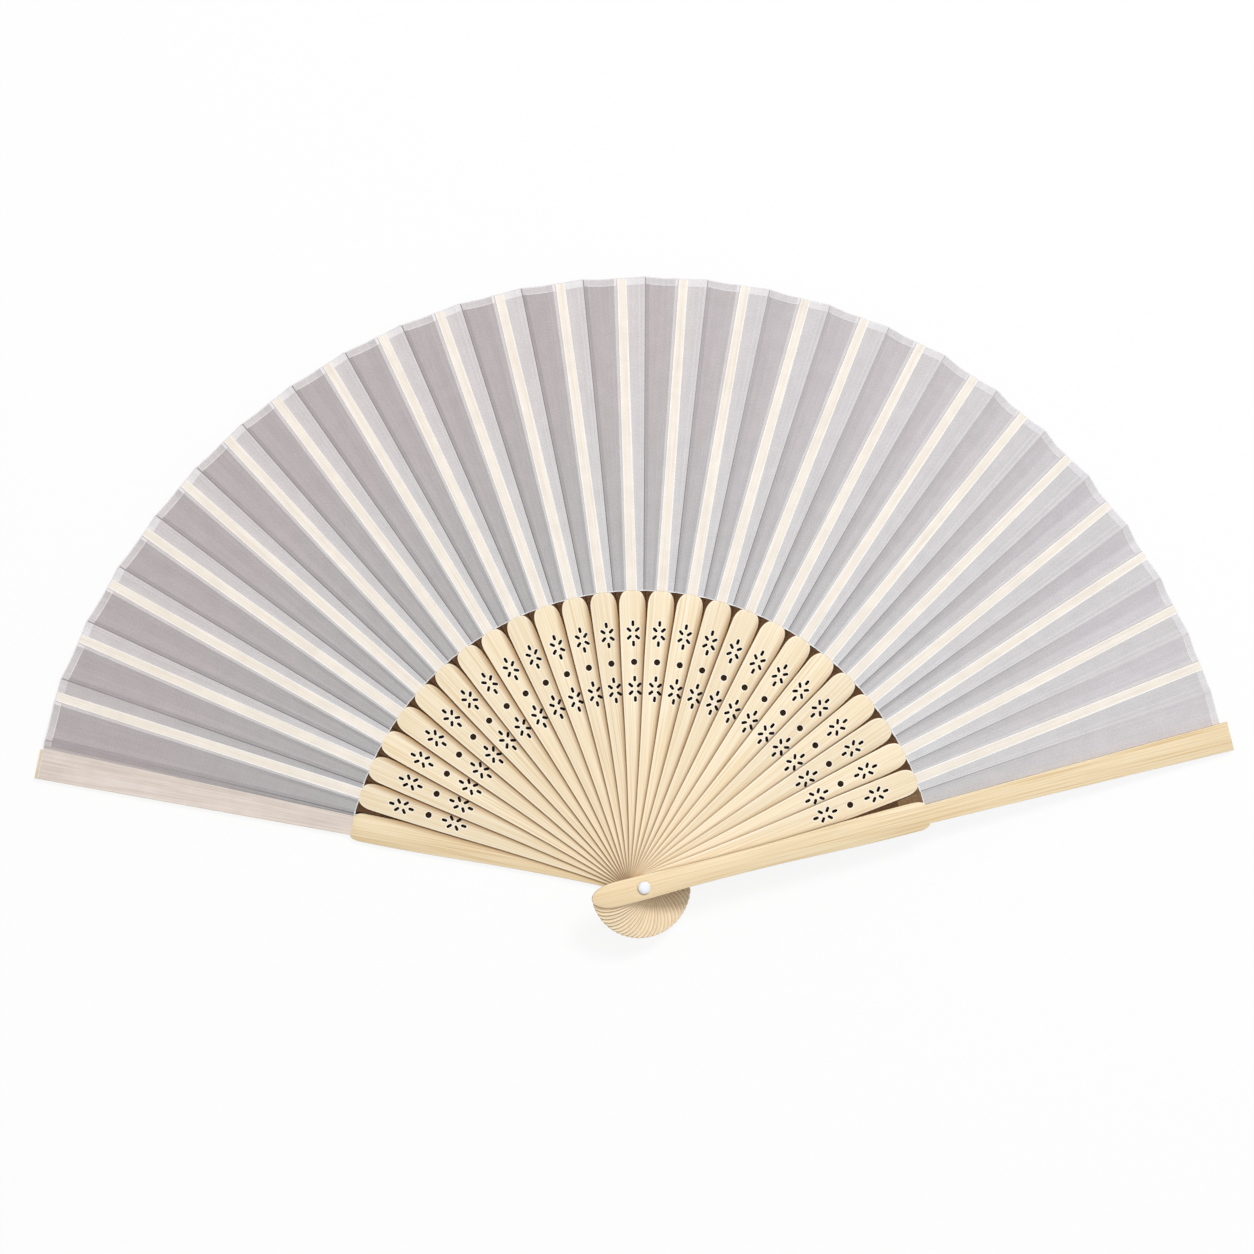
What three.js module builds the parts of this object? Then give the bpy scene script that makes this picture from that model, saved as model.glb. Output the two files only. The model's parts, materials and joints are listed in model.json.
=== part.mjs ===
// Folding fan: pierced bamboo sticks between two plain guards, on one rivet, with a pleated silk leaf.
// Millimetres, +Z up. The open fan lies on its back. The rivet's back cap stands on the origin,
// and +Y runs up the middle of the fan. Blades are counted from the back guard, clockwise and upwards.
import * as THREE from "three";

// The open fan
const INNER_STICKS = 25;
const SPREAD_DEG = 155;
const BACK_PITCH_DEG = 6.6;
const FRONT_PITCH_DEG = 7.2;
const REACH = 192;
const TAIL = 16.8;
const FRONT_TIP_HEIGHT = 1.6;

// The inner sticks, from tail to tip
const STICK_T = 0.5;
const TAIL_W = 7.7;
const TAIL_END_L = 8;
const WAIST_R = 24;
const WAIST_W = 6.8;
const BLADE_W = 8.4;
const SHOULDER_L = 4.6;
const RIB_START_W = 3.4;
const RIB_TIP_W = 2.9;

// The piercing of each inner stick, from the leaf down: flower, dot, flower
const LEAF_TO_FLOWER = 13.6;
const FLOWER_TO_DOT = 9;
const DOT_TO_FLOWER = 8.5;
const DOT_D = 1.9;
const SLOT_L = 1.8;
const SLOT_W = 0.85;
const AXIAL_SLOT_REACH = 3.2;
const SIDE_SLOT_ACROSS = 1.3;
const SIDE_SLOT_ALONG = 1.2;

// The guards
const GUARD_REACH = 194;
const GUARD_T = 1.6;
const GUARD_EDGE = 0.25;
const GUARD_BLADE_W = 9.1;
const GUARD_SHOULDER_L = 4;
const GUARD_NECK_W = 6;
const GUARD_TIP_W = 9.3;

// The rivet
const PIN_D = 2;
const HEAD_D = 4;
const HEAD_H = 1.3;
const CAP_D = 4.6;
const CAP_T = 0.5;

// The leaf, pleated from LEAF_INNER out to the tips
const LEAF_INNER = 92.6;
const LEAF_T = 0.2;
const PLEAT_SLOPE = 0.38;
const MARGIN_INNER = 0.5;
const MARGIN_OUTER = 0.85;
const RIDGE_INNER = 1.7;
const RIDGE_OUTER = 5.3;
const GUARD_RIDGE_INNER = 0.8;
const GUARD_RIDGE_OUTER = 3.2;
const GUARD_BARE_W = 0.4;

// Clearances
const STACK_GAP = 0.3;
const SEAT_GAP = 0.3;
const BORE_GAP = 0.4;
const LEAF_GAP = 0.3;

// Curve steps of the blades, handle of a quarter round, and facets round the rivet
const CURVE_STEPS = 4;
const ROUND = 0.5523;
const RIVET_FACETS = 24;

const FRONT = INNER_STICKS + 1;
const SPREAD = THREE.MathUtils.degToRad(SPREAD_DEG);
const BACK_PITCH = THREE.MathUtils.degToRad(BACK_PITCH_DEG);
const FRONT_PITCH = THREE.MathUtils.degToRad(FRONT_PITCH_DEG);
const STACK_PITCH = STICK_T + STACK_GAP;

// Turn of each blade from the back guard. The wide guards stand a little further from their neighbours.
function angleOf(blade) {
  if (blade === 0) return 0;
  if (blade === FRONT) return SPREAD;
  return THREE.MathUtils.mapLinear(blade, 1, INNER_STICKS, BACK_PITCH, SPREAD - FRONT_PITCH);
}

// Height of each blade's underside on the rivet, from the ground.
const BACK_LEVEL = CAP_T + SEAT_GAP;
const FIRST_LEVEL = BACK_LEVEL + GUARD_T + STACK_GAP;
const levelOf = (blade) => (blade === 0 ? BACK_LEVEL : FIRST_LEVEL + (blade - 1) * STACK_PITCH);
const FRONT_LEVEL = levelOf(FRONT);

// The loose rivet leans away from the back guard, so that the tips all come down to the ground.
const LEAN = Math.asin((FRONT_LEVEL - FRONT_TIP_HEIGHT) / (GUARD_REACH * (1 - Math.cos(SPREAD))));

const bamboo = (colour) => new THREE.MeshStandardMaterial({ color: colour, roughness: 0.55, metalness: 0 });
const silk = () => new THREE.MeshStandardMaterial({ color: "#c8c2c4", roughness: 0.8, metalness: 0 });
const pearl = () => new THREE.MeshStandardMaterial({ color: "#e6e7eb", roughness: 0.3, metalness: 0 });

const fan = new THREE.Group();
fan.rotation.z = SPREAD / 2;
const rivetAxis = new THREE.Group();
rivetAxis.rotation.x = LEAN;
fan.add(rivetAxis);

// One group per blade: it swings round the leaning rivet and then lies back flat,
// so that its +Y runs from rivet to tip and its +Z is the blade's face.
const blades = Array.from({ length: FRONT + 1 }, (_, blade) => {
  const swing = new THREE.Group();
  swing.rotation.z = -angleOf(blade);
  swing.position.z = levelOf(blade) / Math.cos(LEAN);
  const flat = new THREE.Group();
  flat.rotation.x = -LEAN;
  swing.add(flat);
  rivetAxis.add(swing);
  return flat;
});

// A blade's outline: half-oval tail, drawn-in waist, wide blade, round shoulders, and a tapering tip section.
function bladeShape(bladeW, shoulderL, neckW, tipW, reach) {
  const tailHalf = TAIL_W / 2;
  const waistHalf = WAIST_W / 2;
  const bladeHalf = bladeW / 2;
  const neckHalf = neckW / 2;
  const tailCentre = TAIL_END_L - TAIL;
  const shoulder = LEAF_INNER - shoulderL;
  const corner = THREE.MathUtils.lerp(neckHalf, bladeHalf, ROUND);
  const rounding = shoulder + ROUND * shoulderL;
  const swell = (WAIST_R - tailCentre) / 2;
  const flare = (shoulder - WAIST_R) / 2;
  const shape = new THREE.Shape();
  shape.absellipse(0, tailCentre, tailHalf, TAIL_END_L, Math.PI, 2 * Math.PI);
  shape.bezierCurveTo(tailHalf, tailCentre + swell, waistHalf, WAIST_R - swell, waistHalf, WAIST_R);
  shape.bezierCurveTo(waistHalf, WAIST_R + flare, bladeHalf, shoulder - flare, bladeHalf, shoulder);
  shape.bezierCurveTo(bladeHalf, rounding, corner, LEAF_INNER, neckHalf, LEAF_INNER);
  shape.lineTo(tipW / 2, reach);
  shape.lineTo(-tipW / 2, reach);
  shape.lineTo(-neckHalf, LEAF_INNER);
  shape.bezierCurveTo(-corner, LEAF_INNER, -bladeHalf, rounding, -bladeHalf, shoulder);
  shape.bezierCurveTo(-bladeHalf, shoulder - flare, -waistHalf, WAIST_R + flare, -waistHalf, WAIST_R);
  shape.bezierCurveTo(-waistHalf, WAIST_R - swell, -tailHalf, tailCentre + swell, -tailHalf, tailCentre);
  shape.holes.push(roundHole(0, PIN_D / 2 + BORE_GAP));
  return shape;
}

function roundHole(along, radius) {
  return new THREE.Path().absarc(0, along, radius, 0, 2 * Math.PI);
}

// One chisel-cut slot, its length along the direction given.
function slotHole(across, along, direction) {
  const corners = [[1, 1], [-1, 1], [-1, -1], [1, -1]].map(([end, side]) => {
    const corner = new THREE.Vector2((end * SLOT_L) / 2, (side * SLOT_W) / 2);
    return corner.rotateAround(new THREE.Vector2(), direction).add(new THREE.Vector2(across, along));
  });
  return new THREE.Path(corners);
}

// A flower is six slots that point at its centre: one above, one below and two on each side.
function flowerHoles(centre) {
  const places = [[0, AXIAL_SLOT_REACH], [0, -AXIAL_SLOT_REACH]];
  for (const side of [1, -1])
    for (const end of [1, -1]) places.push([side * SIDE_SLOT_ACROSS, end * SIDE_SLOT_ALONG]);
  return places.map(([across, along]) => slotHole(across, centre + along, Math.atan2(along, across)));
}

function addMesh(parent, name, geometry, material) {
  const mesh = new THREE.Mesh(geometry, material);
  mesh.name = name;
  parent.add(mesh);
}

const numbered = (stem, number) => `${stem}_${String(number).padStart(2, "0")}`;

// Inner sticks, each pierced with two flowers and a round hole between them.
const upperFlower = LEAF_INNER - LEAF_TO_FLOWER;
const dot = upperFlower - FLOWER_TO_DOT;
const lowerFlower = dot - DOT_TO_FLOWER;
for (let blade = 1; blade < FRONT; blade++) {
  const shape = bladeShape(BLADE_W, SHOULDER_L, RIB_START_W, RIB_TIP_W, REACH);
  shape.holes.push(...flowerHoles(upperFlower), roundHole(dot, DOT_D / 2), ...flowerHoles(lowerFlower));
  const geometry = new THREE.ExtrudeGeometry(shape, {
    depth: STICK_T,
    bevelEnabled: false,
    curveSegments: CURVE_STEPS,
  });
  addMesh(blades[blade], numbered("stick", blade), geometry, bamboo("#f3e2c0"));
}

// Guards: the same outline without piercing, thicker, wider at the tip and with eased edges.
for (const [blade, name] of [[0, "guard_back"], [FRONT, "guard_front"]]) {
  const shape = bladeShape(GUARD_BLADE_W, GUARD_SHOULDER_L, GUARD_NECK_W, GUARD_TIP_W, GUARD_REACH);
  const geometry = new THREE.ExtrudeGeometry(shape, {
    depth: GUARD_T - 2 * GUARD_EDGE,
    bevelThickness: GUARD_EDGE,
    bevelSize: GUARD_EDGE,
    bevelOffset: -GUARD_EDGE,
    bevelSegments: 1,
    curveSegments: CURVE_STEPS,
  });
  geometry.translate(0, 0, GUARD_EDGE);
  addMesh(blades[blade], name, geometry, bamboo("#eed7a8"));
}

// Rivet: a pin through every blade with a domed head on the front guard, and a flat cap under the back guard.
function turned(profile) {
  const geometry = new THREE.LatheGeometry(profile, RIVET_FACETS);
  return geometry.rotateX(Math.PI / 2);
}

const pinFoot = BACK_LEVEL / Math.cos(LEAN);
const headSeat = (FRONT_LEVEL + GUARD_T) / Math.cos(LEAN) + SEAT_GAP;
const dome = new THREE.EllipseCurve(0, headSeat, HEAD_D / 2, HEAD_H, 0, Math.PI / 2);
const pinProfile = [
  new THREE.Vector2(0, pinFoot),
  new THREE.Vector2(PIN_D / 2, pinFoot),
  new THREE.Vector2(PIN_D / 2, headSeat),
  ...dome.getPoints(CURVE_STEPS),
];
addMesh(rivetAxis, "rivet_pin", turned(pinProfile), pearl());

const capProfile = [
  new THREE.Vector2(0, 0),
  new THREE.Vector2(CAP_D / 2, 0),
  new THREE.Vector2(CAP_D / 2, CAP_T),
  new THREE.Vector2(0, CAP_T),
];
addMesh(fan, "rivet_cap", turned(capProfile), pearl());

// Leaf: one gore from each blade to the next. It lies on the blade, rises past the rib to a ridge,
// and falls to the next blade. The last gore ends glued under the front guard.
function between(inner, outer, radius, end = REACH) {
  return THREE.MathUtils.mapLinear(radius, LEAF_INNER, end, inner, outer);
}

const ribHalf = (radius) => between(RIB_START_W, RIB_TIP_W, radius) / 2;
const guardHalf = (radius) => between(GUARD_NECK_W, GUARD_TIP_W, radius, GUARD_REACH) / 2;
const margin = (radius) => between(MARGIN_INNER, MARGIN_OUTER, radius);

// A point of the leaf over a blade, from its place across and along the blade and its height over the seat.
const onBlade = (blade, across, along, height) => ({ blade, across, along, height });

function leftEdge(blade, radius) {
  const across = blade === 0 ? GUARD_BARE_W - guardHalf(radius) : -ribHalf(radius) - margin(radius);
  return onBlade(blade, across, radius, seatOf(blade));
}

function seatOf(blade) {
  return (blade === 0 ? GUARD_T : STICK_T) + LEAF_GAP;
}

function goreSection(blade, radius) {
  const half = blade === 0 ? guardHalf(radius) : ribHalf(radius);
  const seat = seatOf(blade);
  const ridge = blade === 0 ? [GUARD_RIDGE_INNER, GUARD_RIDGE_OUTER] : [RIDGE_INNER, RIDGE_OUTER];
  const past = between(...ridge, radius);
  const start = [
    leftEdge(blade, radius),
    onBlade(blade, half, radius, seat),
    onBlade(blade, half + past, radius, seat + PLEAT_SLOPE * past),
  ];
  if (blade + 1 < FRONT) {
    const next = leftEdge(blade + 1, radius);
    return [...start, { ...next, across: next.across - LEAF_GAP }];
  }
  const under = -LEAF_GAP - LEAF_T;
  const tucked = guardHalf(radius) - GUARD_BARE_W;
  return [...start, onBlade(FRONT, -tucked, radius, under), onBlade(FRONT, tucked, radius, under)];
}

// A sheet of the leaf's thickness between the inner and the outer section, as one closed body.
function goreGeometry(blade) {
  const rings = [LEAF_INNER, REACH].map((radius) => {
    const section = goreSection(blade, radius);
    const faceOf = (lift) =>
      section.map((p) => blades[p.blade].localToWorld(new THREE.Vector3(p.across, p.along, p.height + lift)));
    return [...faceOf(0), ...faceOf(LEAF_T).reverse()];
  });
  const count = rings[0].length;
  const width = count / 2;
  const index = [];
  const quad = (a, b, c, d) => index.push(a, b, c, a, c, d);
  for (let i = 0; i < count; i++) {
    const next = (i + 1) % count;
    quad(i, i + count, next + count, next);
  }
  for (let i = 0; i + 1 < width; i++) {
    const top = count - 1 - i;
    quad(i, i + 1, top - 1, top);
    quad(i + count, top + count, top - 1 + count, i + 1 + count);
  }
  const geometry = new THREE.BufferGeometry().setFromPoints(rings.flat());
  geometry.setIndex(index);
  geometry.computeVertexNormals();
  return geometry;
}

const leaf = new THREE.Group();
fan.updateMatrixWorld(true);
for (let blade = 0; blade < FRONT; blade++) {
  addMesh(leaf, numbered("leaf_gore", blade), goreGeometry(blade), silk());
}

const part = new THREE.Group();
part.add(fan, leaf);

export default part;
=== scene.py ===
import json
import math

import bmesh
import bpy
from mathutils import Matrix, Vector
from mathutils.geometry import interpolate_bezier, tessellate_polygon
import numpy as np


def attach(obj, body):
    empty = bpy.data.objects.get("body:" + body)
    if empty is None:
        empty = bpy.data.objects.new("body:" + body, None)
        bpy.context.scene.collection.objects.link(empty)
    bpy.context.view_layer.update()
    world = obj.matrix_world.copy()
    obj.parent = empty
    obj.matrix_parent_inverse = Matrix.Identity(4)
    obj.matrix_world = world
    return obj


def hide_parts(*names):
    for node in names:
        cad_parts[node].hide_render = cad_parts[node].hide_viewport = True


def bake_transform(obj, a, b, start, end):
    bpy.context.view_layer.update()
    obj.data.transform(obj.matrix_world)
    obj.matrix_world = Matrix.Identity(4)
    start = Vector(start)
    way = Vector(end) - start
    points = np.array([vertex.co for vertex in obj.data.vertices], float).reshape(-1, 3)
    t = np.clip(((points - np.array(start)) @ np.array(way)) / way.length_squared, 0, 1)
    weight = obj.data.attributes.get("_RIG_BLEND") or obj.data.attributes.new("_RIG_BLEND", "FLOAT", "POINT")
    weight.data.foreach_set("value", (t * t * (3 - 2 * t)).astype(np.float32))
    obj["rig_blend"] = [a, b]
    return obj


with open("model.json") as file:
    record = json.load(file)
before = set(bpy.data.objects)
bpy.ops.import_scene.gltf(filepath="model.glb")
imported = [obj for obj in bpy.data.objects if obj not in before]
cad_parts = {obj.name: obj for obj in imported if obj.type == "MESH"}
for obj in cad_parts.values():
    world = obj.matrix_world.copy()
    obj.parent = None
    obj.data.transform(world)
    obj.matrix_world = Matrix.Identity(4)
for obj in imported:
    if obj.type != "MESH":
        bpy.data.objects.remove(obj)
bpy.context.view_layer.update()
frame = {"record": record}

# Guards: the two plain outer blades, sawn from thick bamboo, planed and lightly varnished.
# The back guard is the lowest blade on the rivet, and the front guard closes the stack on top.
# Both have a half-oval tail, a drawn-in waist, a wide lower section and a long flaring tip section.
# Sizes are in mm. A name in _R or _REACH is measured from the rivet.
MM = 0.001
TAIL, TAIL_END_L, TAIL_W = 16.8, 8.0, 7.7
WAIST_R, WAIST_W = 24.0, 6.8
LEAF_INNER = 92.6
BORE_D = 2.8
STICK_T, STACK_GAP = 0.5, 0.3
STICK_BLADE_W, STICK_SHOULDER_L = 8.4, 4.6
GUARD_REACH, GUARD_T, GUARD_EASING = 194.0, 1.6, 0.25
GUARD_BLADE_W, GUARD_SHOULDER_L = 9.1, 4.0
GUARD_NECK_W, GUARD_TIP_W = 6.0, 9.3
BACK_LEVEL = 0.8
FIRST_LEVEL = BACK_LEVEL + GUARD_T + STACK_GAP
CURVE_STEPS = 12
SHARP_CUT = math.radians(50)
# The rim finish, on the eased top edges and around the holes, is a painted highlight, paler than the face.
BLADE_FINISHES = ["face", "rim", "edge", "hole_shade"]

# The angle of the whole fold, the rivet's lean, and each blade's share of the fold, from back to front.
behaviour = frame["record"]["behaviour"]
front_fold = next(joint for joint in behaviour["joints"] if joint["name"] == "front_fold")
SPREAD = math.radians(front_fold["range_deg"][1])
LEAN = math.acos(front_fold["axis"][2])
shares = [0.0] + [coupling["ratio"] for coupling in behaviour["couplings"]] + [1.0]
FRONT = len(shares) - 1
along_rivet = Matrix.Rotation(SPREAD / 2, 4, "Z") @ Matrix.Rotation(LEAN, 4, "X")


def level_of(blade):
    """Height of a blade's underside on the rivet, in mm."""
    return BACK_LEVEL if blade == 0 else FIRST_LEVEL + (blade - 1) * (STICK_T + STACK_GAP)


def blade_place(blade):
    """Where a blade lies: its Y runs from rivet to tip, and its Z is its face."""
    lift = Matrix.Translation((0, 0, level_of(blade) * MM / math.cos(LEAN)))
    turn = Matrix.Rotation(-shares[blade] * SPREAD, 4, "Z")
    return along_rivet @ lift @ turn @ Matrix.Rotation(-LEAN, 4, "X")


def body_of_blade(blade):
    """The name of the CAD body that a blade is."""
    return {0: "back_blade", FRONT: "front_blade"}.get(blade, f"blade_{blade:02d}")


def blade_outline(blade_w, shoulder_l, neck_w, tip_w, reach):
    """A blade's edge in mm, anticlockwise from the middle of its tail. Its shoulders are quarter rounds,
    which a curve gives with handles of 0.5523 of their radius."""
    tail, waist, wide, neck = (width / 2 for width in (TAIL_W, WAIST_W, blade_w, neck_w))
    tail_centre, shoulder = TAIL_END_L - TAIL, LEAF_INNER - shoulder_l
    swell, flare = (WAIST_R - tail_centre) / 2, (shoulder - WAIST_R) / 2
    quarter = 0.5523
    corner, bend = neck + quarter * (wide - neck), shoulder + quarter * shoulder_l
    turns = [math.radians(90 * step / CURVE_STEPS - 90) for step in range(CURVE_STEPS)]
    right = [(tail * math.cos(turn), tail_centre + TAIL_END_L * math.sin(turn)) for turn in turns]
    curves = [
        [(tail, tail_centre), (tail, tail_centre + swell), (waist, WAIST_R - swell), (waist, WAIST_R)],
        [(waist, WAIST_R), (waist, WAIST_R + flare), (wide, shoulder - flare), (wide, shoulder)],
        [(wide, shoulder), (wide, bend), (corner, LEAF_INNER), (neck, LEAF_INNER)],
    ]
    for curve in curves:
        right += [tuple(point) for point in interpolate_bezier(*map(Vector, curve), CURVE_STEPS)[:-1]]
    right += [(neck, LEAF_INNER), (tip_w / 2, reach)]
    return right + [(-across, along) for across, along in reversed(right[1:])]


def round_hole(along, diameter, facets=24):
    """A drilled hole on the blade's middle line, clockwise."""
    turns = [-2 * math.pi * step / facets for step in range(facets)]
    return [(diameter / 2 * math.cos(turn), along + diameter / 2 * math.sin(turn)) for turn in turns]


def inset(loop, depth):
    """The loop moved by a depth in mm into the material, which lies on its left."""
    moved = []
    for index, point in enumerate(loop):
        before, here, after = Vector(loop[index - 1]), Vector(point), Vector(loop[(index + 1) % len(loop)])
        edge = (here - before).normalized()
        inwards = (edge + (after - here).normalized()).normalized().orthogonal()
        moved.append(here + inwards * (depth / inwards.dot(edge.orthogonal())))
    return moved


def cut_blade(name, loops):
    """A flat solid cut to an outline and holes. Every loop comes with its edge's profile, which is
    (inset, height) from the foot up, and with the finishes of the strips between the profile's points."""
    points, faces, finishes = [], [], []
    feet, rims = [], []
    for loop, profile, strips in loops:
        count, first = len(loop), len(points)
        for depth, height in profile:
            points += [point.to_3d() + Vector((0, 0, height)) for point in inset(loop, depth)]
        for ring, finish in enumerate(strips):
            for step in range(count):
                low, after = first + ring * count + step, first + ring * count + (step + 1) % count
                faces.append((low, after, after + count, low + count))
                finishes.append(finish)
        feet.append(range(first, first + count))
        rims.append(range(len(points) - count, len(points)))
    strip_count = len(faces)
    for rings in (feet, rims):
        order = [index for ring in rings for index in ring]
        for triangle in tessellate_polygon([[points[index] for index in ring] for ring in rings]):
            faces.append(tuple(order[corner] for corner in triangle))
            finishes.append("face")
    mesh = bpy.data.meshes.new(name)
    mesh.from_pydata([point * MM for point in points], [], faces)
    solid = bmesh.new()
    solid.from_mesh(mesh)
    bmesh.ops.recalc_face_normals(solid, faces=solid.faces)
    solid.to_mesh(mesh)
    solid.free()
    for face, finish in zip(mesh.polygons, finishes):
        face.use_smooth = face.index < strip_count
        face.material_index = BLADE_FINISHES.index(finish)
    mesh.set_sharp_from_angle(angle=SHARP_CUT)
    return mesh


def place(name, mesh, matrix=Matrix.Identity(4)):
    """Puts a mesh into the scene as a piece."""
    piece = bpy.data.objects.new(name, mesh)
    piece.matrix_world = matrix
    bpy.context.scene.collection.objects.link(piece)
    return piece


def linear(hex_colour):
    """A linear colour from an sRGB hex value."""
    channels = [int(hex_colour[start:start + 2], 16) / 255 for start in (1, 3, 5)]
    return [*(c / 12.92 if c <= 0.04045 else ((c + 0.055) / 1.055) ** 2.4 for c in channels), 1.0]


def add_node(tree, kind, inputs=(), **settings):
    """Adds a node with its settings, and sets or links its inputs by name, number or identifier."""
    node = tree.nodes.new(kind)
    for name, value in settings.items():
        setattr(node, name, value)
    for name, value in dict(inputs).items():
        named = [socket for socket in node.inputs if socket.identifier == name]
        socket = named[0] if named else node.inputs[name]
        if isinstance(value, bpy.types.NodeSocket):
            tree.links.new(value, socket)
        else:
            socket.default_value = value
    return node


def new_material(name):
    """An empty material with its shader, and the tree to add to."""
    material = bpy.data.materials.new(name)
    material.use_nodes = True
    tree = material.node_tree
    return material, tree, tree.nodes["Principled BSDF"]


def painted_lap_shade(tree, spot, colour, strength, next_turn, next_blade_w):
    """Painted shade of the next blade above: deepest along that blade's edge, fading out beside it.
    It is wide and deep near the shoulders, with a darker painted-shade line in the crevice, and narrow
    and faint near the rivet. Lengths are in mm."""
    brown, hub_r, far_r = linear("#A87A3A"), 20.0, 85.0
    hub_w, far_w, hub_share, far_share = 0.8, 2.4, 0.65, 1.2
    tail_r, tail_share = -6.0, 0.2
    crevice_shade_colour, crevice_shade_full_w, crevice_shade_w = linear("#3E2D1A"), 0.1, 0.6
    crevice_shade_start, crevice_shade_end, crevice_shade_least, crevice_shade_most = 45.0, 78.0, 0.3, 1.0
    sine, cosine = math.sin(next_turn) / MM, math.cos(next_turn) / MM
    across, along = (
        add_node(tree, "ShaderNodeVectorMath", {0: spot, 1: axis}, operation="DOT_PRODUCT").outputs["Value"]
        for axis in ((cosine, -sine, 0), (sine, cosine, 0))
    )
    tail_centre, shoulder = TAIL_END_L - TAIL, LEAF_INNER - STICK_SHOULDER_L
    widths = [
        add_node(
            tree,
            "ShaderNodeMapRange",
            {0: along, 1: start, 2: end, 3: start_w / 2, 4: end_w / 2},
            interpolation_type="SMOOTHSTEP",
        ).outputs[0]
        for start, end, start_w, end_w in (
            (tail_centre, WAIST_R, TAIL_W, WAIST_W),
            (WAIST_R, shoulder, 0, next_blade_w - WAIST_W),
        )
    ]
    half = add_node(tree, "ShaderNodeMath", {0: widths[0], 1: widths[1]}, operation="ADD").outputs[0]
    tail_end = add_node(tree, "ShaderNodeMapRange", {0: along, 1: tail_centre, 2: -TAIL}).outputs[0]
    squared = add_node(tree, "ShaderNodeMath", {0: tail_end, 1: 2.0}, operation="POWER").outputs[0]
    left_over = add_node(tree, "ShaderNodeMath", {0: 1.0, 1: squared}, operation="SUBTRACT").outputs[0]
    rounding = add_node(tree, "ShaderNodeMath", {0: left_over}, operation="SQRT").outputs[0]
    edge = add_node(tree, "ShaderNodeMath", {0: half, 1: rounding}, operation="MULTIPLY").outputs[0]
    off_axis = add_node(tree, "ShaderNodeMath", {0: across}, operation="ABSOLUTE").outputs[0]
    beside = add_node(tree, "ShaderNodeMath", {0: off_axis, 1: edge}, operation="SUBTRACT").outputs[0]
    outwards = {0: along, 1: hub_r, 2: far_r}
    brown_w = add_node(tree, "ShaderNodeMapRange", {**outwards, 3: hub_w, 4: far_w}).outputs[0]
    most = add_node(tree, "ShaderNodeMapRange", {**outwards, 3: hub_share, 4: far_share}).outputs[0]
    near = add_node(tree, "ShaderNodeMapRange", {0: beside, 1: 0.0, 2: brown_w, 3: 1.0, 4: 0.0}).outputs[0]
    from_tail = {0: along, 1: tail_r, 2: hub_r, 3: tail_share, 4: 1.0}
    at_tail = add_node(tree, "ShaderNodeMapRange", from_tail).outputs[0]
    kept = add_node(tree, "ShaderNodeMath", {0: strength, 1: at_tail}, operation="MULTIPLY").outputs[0]
    deepest = add_node(tree, "ShaderNodeMath", {0: kept, 1: most}, operation="MULTIPLY").outputs[0]
    share = add_node(tree, "ShaderNodeMath", {0: near, 1: deepest}, operation="MULTIPLY").outputs[0]
    lap_shaded = {"Factor_Float": share, "A_Color": colour, "B_Color": brown}
    colour = add_node(tree, "ShaderNodeMix", lap_shaded, data_type="RGBA").outputs[2]
    crevice_shading = {0: along, 1: crevice_shade_start, 2: crevice_shade_end, 3: crevice_shade_least, 4: crevice_shade_most}
    crevice_strength = add_node(tree, "ShaderNodeMapRange", crevice_shading).outputs[0]
    crevice_share = add_node(tree, "ShaderNodeMath", {0: crevice_strength, 1: at_tail}, operation="MULTIPLY").outputs[0]
    crevice = {0: beside, 1: crevice_shade_full_w, 2: crevice_shade_w, 3: crevice_share, 4: 0.0}
    line = add_node(tree, "ShaderNodeMapRange", crevice).outputs[0]
    darkened = {"Factor_Float": line, "A_Color": colour, "B_Color": crevice_shade_colour}
    return add_node(tree, "ShaderNodeMix", darkened, data_type="RGBA").outputs[2]


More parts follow.
